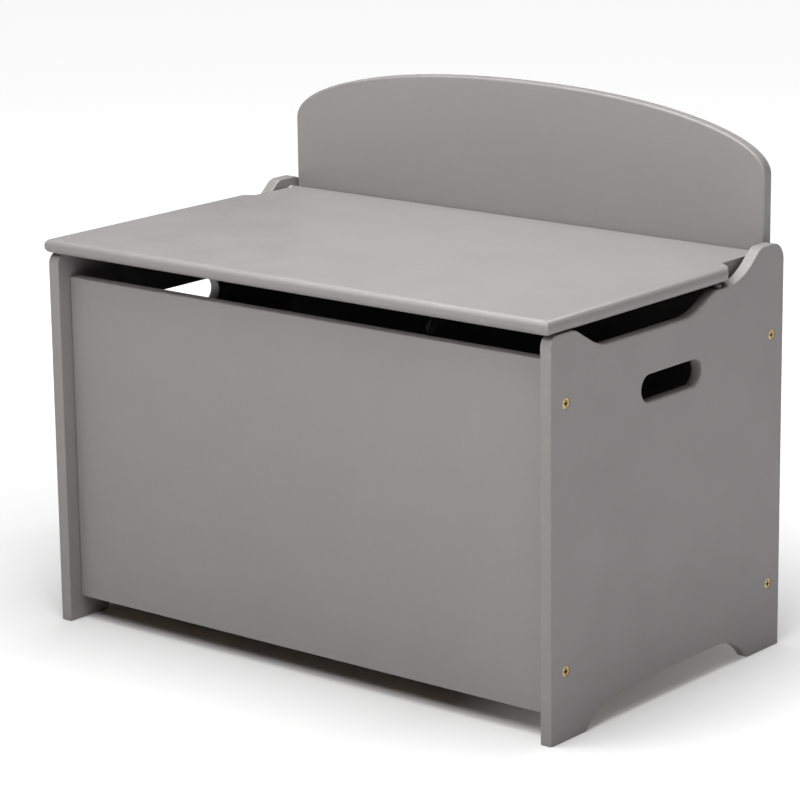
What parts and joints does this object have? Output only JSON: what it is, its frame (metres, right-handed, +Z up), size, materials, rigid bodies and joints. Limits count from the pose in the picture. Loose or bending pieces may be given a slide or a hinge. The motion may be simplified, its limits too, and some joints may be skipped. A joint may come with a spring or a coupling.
{
  "type": "toy box",
  "caption": "Wooden toy box with a pivoting lid, a low arched backrest, side handle slots and a slow-close lid stay.",
  "frame": {"origin": "on the floor, at the middle of the overall width and of the overall depth from the lid's front edge to the side panels' rear edges", "axes": "+X to the box's right side seen from the front, -Y to the front, +Z up"},
  "size_m": [0.61, 0.3712, 0.524],
  "materials": {
    "grey_paint": "satin grey paint on smooth board",
    "bare_wood": "bare beech and pine",
    "brass_plate": "zinc-yellow plated steel",
    "steel": "zinc-plated steel",
    "black_nylon": "moulded nylon",
    "white_nylon": "moulded nylon",
    "dark_rubber": "soft dark pad"
  },
  "bodies": {
    "carcass": {"back_cleat": "bare_wood", "back_panel": "grey_paint", "backrest_panel": "grey_paint", "backrest_screw_1": "brass_plate", "backrest_screw_2": "brass_plate", "backrest_screw_3": "brass_plate", "backrest_screw_4": "brass_plate", "barrel_nut_1": "brass_plate", "barrel_nut_2": "brass_plate", "barrel_nut_3": "brass_plate", "barrel_nut_4": "brass_plate", "barrel_nut_5": "brass_plate", "barrel_nut_6": "brass_plate", "barrel_nut_7": "brass_plate", "barrel_nut_8": "brass_plate", "bottom_panel": "grey_paint", "front_cleat": "bare_wood", "front_panel": "grey_paint", "left_cleat": "bare_wood", "left_side_panel": "grey_paint", "lid_bumper_1": "dark_rubber", "lid_bumper_2": "dark_rubber", "pivot_bush_left": "white_nylon", "pivot_bush_right": "white_nylon", "right_cleat": "bare_wood", "right_side_panel": "grey_paint", "side_bolt_1": "brass_plate", "side_bolt_2": "brass_plate", "side_bolt_3": "brass_plate", "side_bolt_4": "brass_plate", "side_bolt_5": "brass_plate", "side_bolt_6": "brass_plate", "side_bolt_7": "brass_plate", "side_bolt_8": "brass_plate", "stay_damper_housing": "black_nylon", "stay_wall_bracket": "steel", "stay_wall_screw_1": "steel", "stay_wall_screw_2": "steel", "wood_dowel_1": "bare_wood", "wood_dowel_2": "bare_wood", "wood_dowel_3": "bare_wood", "wood_dowel_4": "bare_wood", "wood_dowel_5": "bare_wood", "wood_dowel_6": "bare_wood", "wood_dowel_7": "bare_wood", "wood_dowel_8": "bare_wood"},
    "lid": {"lid_panel": "grey_paint", "lid_pivot_pin_left": "steel", "lid_pivot_pin_right": "steel", "stay_lid_bracket": "steel", "stay_lid_rivet": "steel", "stay_lid_screw_1": "steel", "stay_lid_screw_2": "steel"},
    "stay_arm": {"stay_arm": "steel", "stay_elbow_rivet": "steel", "stay_damper_rotor": "steel"},
    "stay_link": {"stay_link": "steel"}
  },
  "joints": [
    {"name": "lid_hinge", "type": "hinge", "parent": "carcass", "child": "lid", "pos_m": [0, 0.1649, 0.38205], "axis": [-1, 0, 0], "range_deg": [0, 90]},
    {"name": "stay_arm_hinge", "type": "hinge", "parent": "carcass", "child": "stay_arm", "pos_m": [0, 0.131, 0.31805], "axis": [-1, 0, 0], "range_deg": [0, 90]},
    {"name": "stay_link_hinge", "type": "hinge", "parent": "lid", "child": "stay_link", "pos_m": [0, 0.066, 0.36375], "axis": [-1, 0, 0], "range_deg": [-90, 0]}
  ],
  "couplings": [
    {"joint": "stay_arm_hinge", "follows": "lid_hinge", "ratio": 1},
    {"joint": "stay_link_hinge", "follows": "lid_hinge", "ratio": -1}
  ]
}
